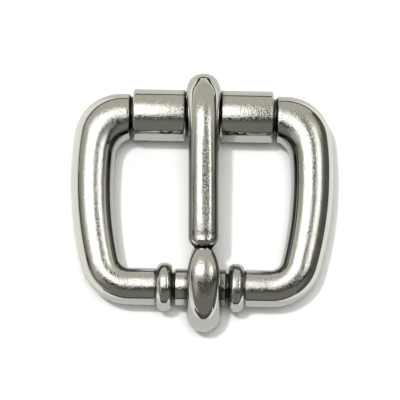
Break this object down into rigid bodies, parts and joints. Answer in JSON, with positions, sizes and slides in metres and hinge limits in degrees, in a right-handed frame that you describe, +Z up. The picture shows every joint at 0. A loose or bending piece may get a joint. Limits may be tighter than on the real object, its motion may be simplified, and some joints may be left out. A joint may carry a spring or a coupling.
{
  "type": "roller belt buckle",
  "caption": "Cast metal belt buckle with a rounded square frame, sleeves that roll on the front bar, and a tongue hinged on a collared heel bar, lying on its back.",
  "frame": {"origin": "middle of the footprint, at the height of the surface that the buckle lies on", "axes": "+X along both bars, +Y from the heel bar to the front bar, +Z up towards the buckle's face"},
  "size_m": [0.0482, 0.0478, 0.0133],
  "materials": {
    "satin_metal": "satin, tumbled, with fine grain",
    "roller_metal": "satin, slightly brighter at the ends"
  },
  "bodies": {
    "frame": {"frame": "satin_metal"},
    "tongue": {"tongue": "satin_metal"},
    "roller_left": {"roller_left": "roller_metal"},
    "roller_right": {"roller_right": "roller_metal"}
  },
  "joints": [
    {"name": "tongue_hinge", "type": "hinge", "parent": "frame", "child": "tongue", "pos_m": [0.00062, -0.01574, 0.00477], "axis": [1, 0, 0], "range_deg": [0, 335]},
    {"name": "roller_left_spin", "type": "hinge", "parent": "frame", "child": "roller_left", "pos_m": [-0.00813, 0.01641, 0.00477], "axis": [1, 0, 0], "continuous": true},
    {"name": "roller_right_spin", "type": "hinge", "parent": "frame", "child": "roller_right", "pos_m": [0.00797, 0.01641, 0.00477], "axis": [1, 0, 0], "continuous": true}
  ]
}
